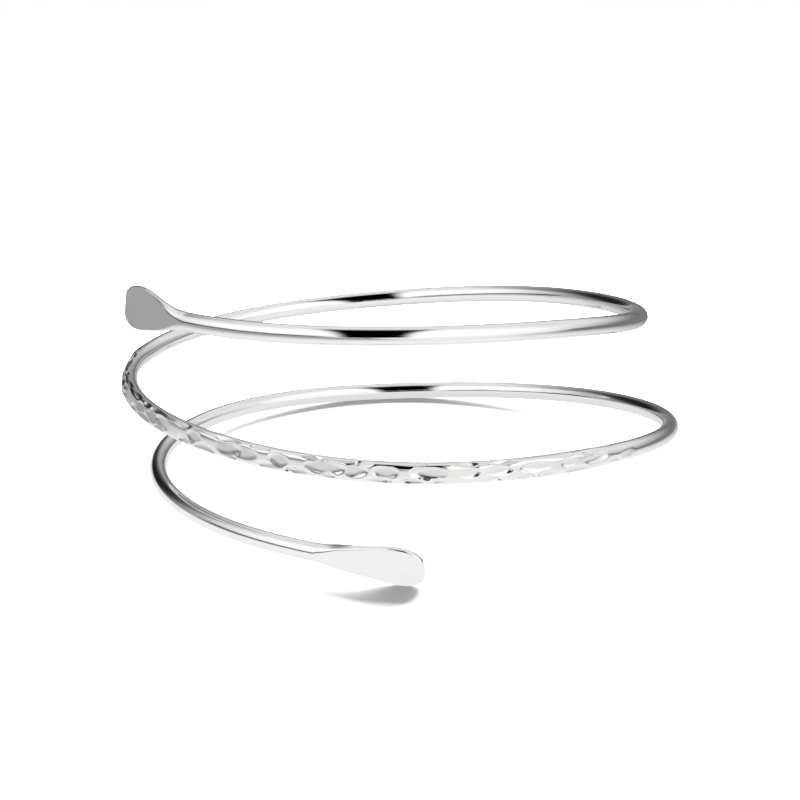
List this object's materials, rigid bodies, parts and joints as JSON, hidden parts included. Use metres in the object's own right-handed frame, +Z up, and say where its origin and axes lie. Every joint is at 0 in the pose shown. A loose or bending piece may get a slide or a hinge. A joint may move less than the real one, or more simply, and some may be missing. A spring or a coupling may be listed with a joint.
{
  "type": "spiral upper arm cuff",
  "caption": "Open spiral arm cuff of polished round wire, with flat paddle ends and a hammered stretch at the front.",
  "frame": {"origin": "on the surface the cuff lies on, under the middle of its coil", "axes": "+Z up through the coil, +X to the right and +Y to the back, seen from the side where the lower paddle rests"},
  "size_m": [0.0891, 0.0874, 0.0402],
  "materials": {
    "silver": "mirror-polished silver"
  },
  "bodies": {
    "root": {"spiral_cuff": "silver"}
  },
  "joints": []
}
